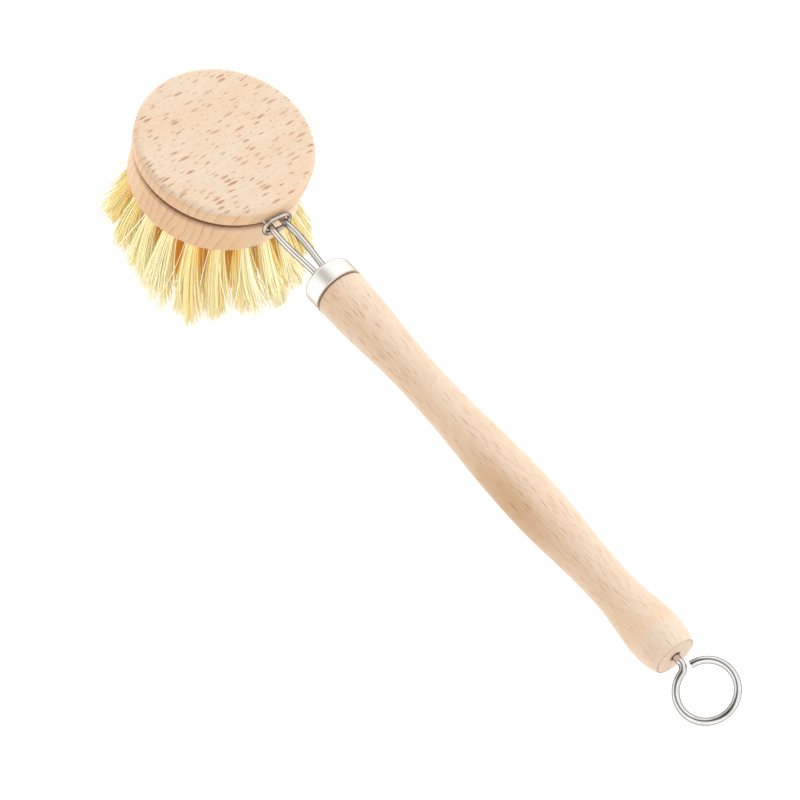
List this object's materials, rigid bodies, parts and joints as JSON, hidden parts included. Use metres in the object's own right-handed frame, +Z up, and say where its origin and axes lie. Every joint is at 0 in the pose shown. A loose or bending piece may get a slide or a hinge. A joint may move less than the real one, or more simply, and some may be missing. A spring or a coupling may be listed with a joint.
{
  "type": "dish brush",
  "caption": "Wooden dish brush with a round tufted head held in a sprung wire loop, a sliding clamp ring, a turned handle with a metal ferrule, and a wire eye to hang it by.",
  "frame": {"origin": "on the table under the middle of the box, the brush lying on its front tufts and its hanging ring", "axes": "+X along the handle from the head to the hanging ring, +Z up, tufts down, +Y to the left of the head seen from the hanging ring"},
  "size_m": [0.2486, 0.0624, 0.0587],
  "materials": {
    "handle_beech": "bare fine-sanded beech",
    "head_beech": "bare fine-sanded beech",
    "ferrule_metal": "satin nickel plate",
    "wire_steel": "drawn bright wire",
    "clamp_steel": "bright wire",
    "eye_steel": "bright nickel plate",
    "anchor_steel": "flat wire, hidden",
    "bristle": "pale plant fibre"
  },
  "bodies": {
    "grip": {"handle": "handle_beech", "ferrule": "ferrule_metal", "wire_loop": "wire_steel"},
    "head": {"head_block": "head_beech", "tuft_anchors": "anchor_steel", "tuft_center": "bristle", "tuft_inner_01": "bristle", "tuft_inner_02": "bristle", "tuft_inner_03": "bristle", "tuft_inner_04": "bristle", "tuft_inner_05": "bristle", "tuft_inner_06": "bristle", "tuft_middle_01": "bristle", "tuft_middle_02": "bristle", "tuft_middle_03": "bristle", "tuft_middle_04": "bristle", "tuft_middle_05": "bristle", "tuft_middle_06": "bristle", "tuft_middle_07": "bristle", "tuft_middle_08": "bristle", "tuft_middle_09": "bristle", "tuft_middle_10": "bristle", "tuft_middle_11": "bristle", "tuft_middle_12": "bristle", "tuft_outer_01": "bristle", "tuft_outer_02": "bristle", "tuft_outer_03": "bristle", "tuft_outer_04": "bristle", "tuft_outer_05": "bristle", "tuft_outer_06": "bristle", "tuft_outer_07": "bristle", "tuft_outer_08": "bristle", "tuft_outer_09": "bristle", "tuft_outer_10": "bristle", "tuft_outer_11": "bristle", "tuft_outer_12": "bristle", "tuft_outer_13": "bristle", "tuft_outer_14": "bristle", "tuft_outer_15": "bristle", "tuft_outer_16": "bristle", "tuft_outer_17": "bristle", "tuft_outer_18": "bristle"},
    "clamp": {"clamp_ring": "clamp_steel"},
    "eye": {"hanging_ring": "eye_steel"}
  },
  "joints": [
    {"name": "head_turn", "type": "hinge", "parent": "grip", "child": "head", "pos_m": [-0.08303, 0, 0.04518], "axis": [0.324, 0, 0.9461], "continuous": true},
    {"name": "clamp_slide", "type": "slide", "parent": "grip", "child": "clamp", "axis": [0.9839, 0, -0.1789], "range_m": [0, 0.021]},
    {"name": "eye_turn", "type": "hinge", "parent": "grip", "child": "eye", "pos_m": [0.10421, 0, 0.00733], "axis": [0.9839, 0, -0.1789], "continuous": true}
  ]
}
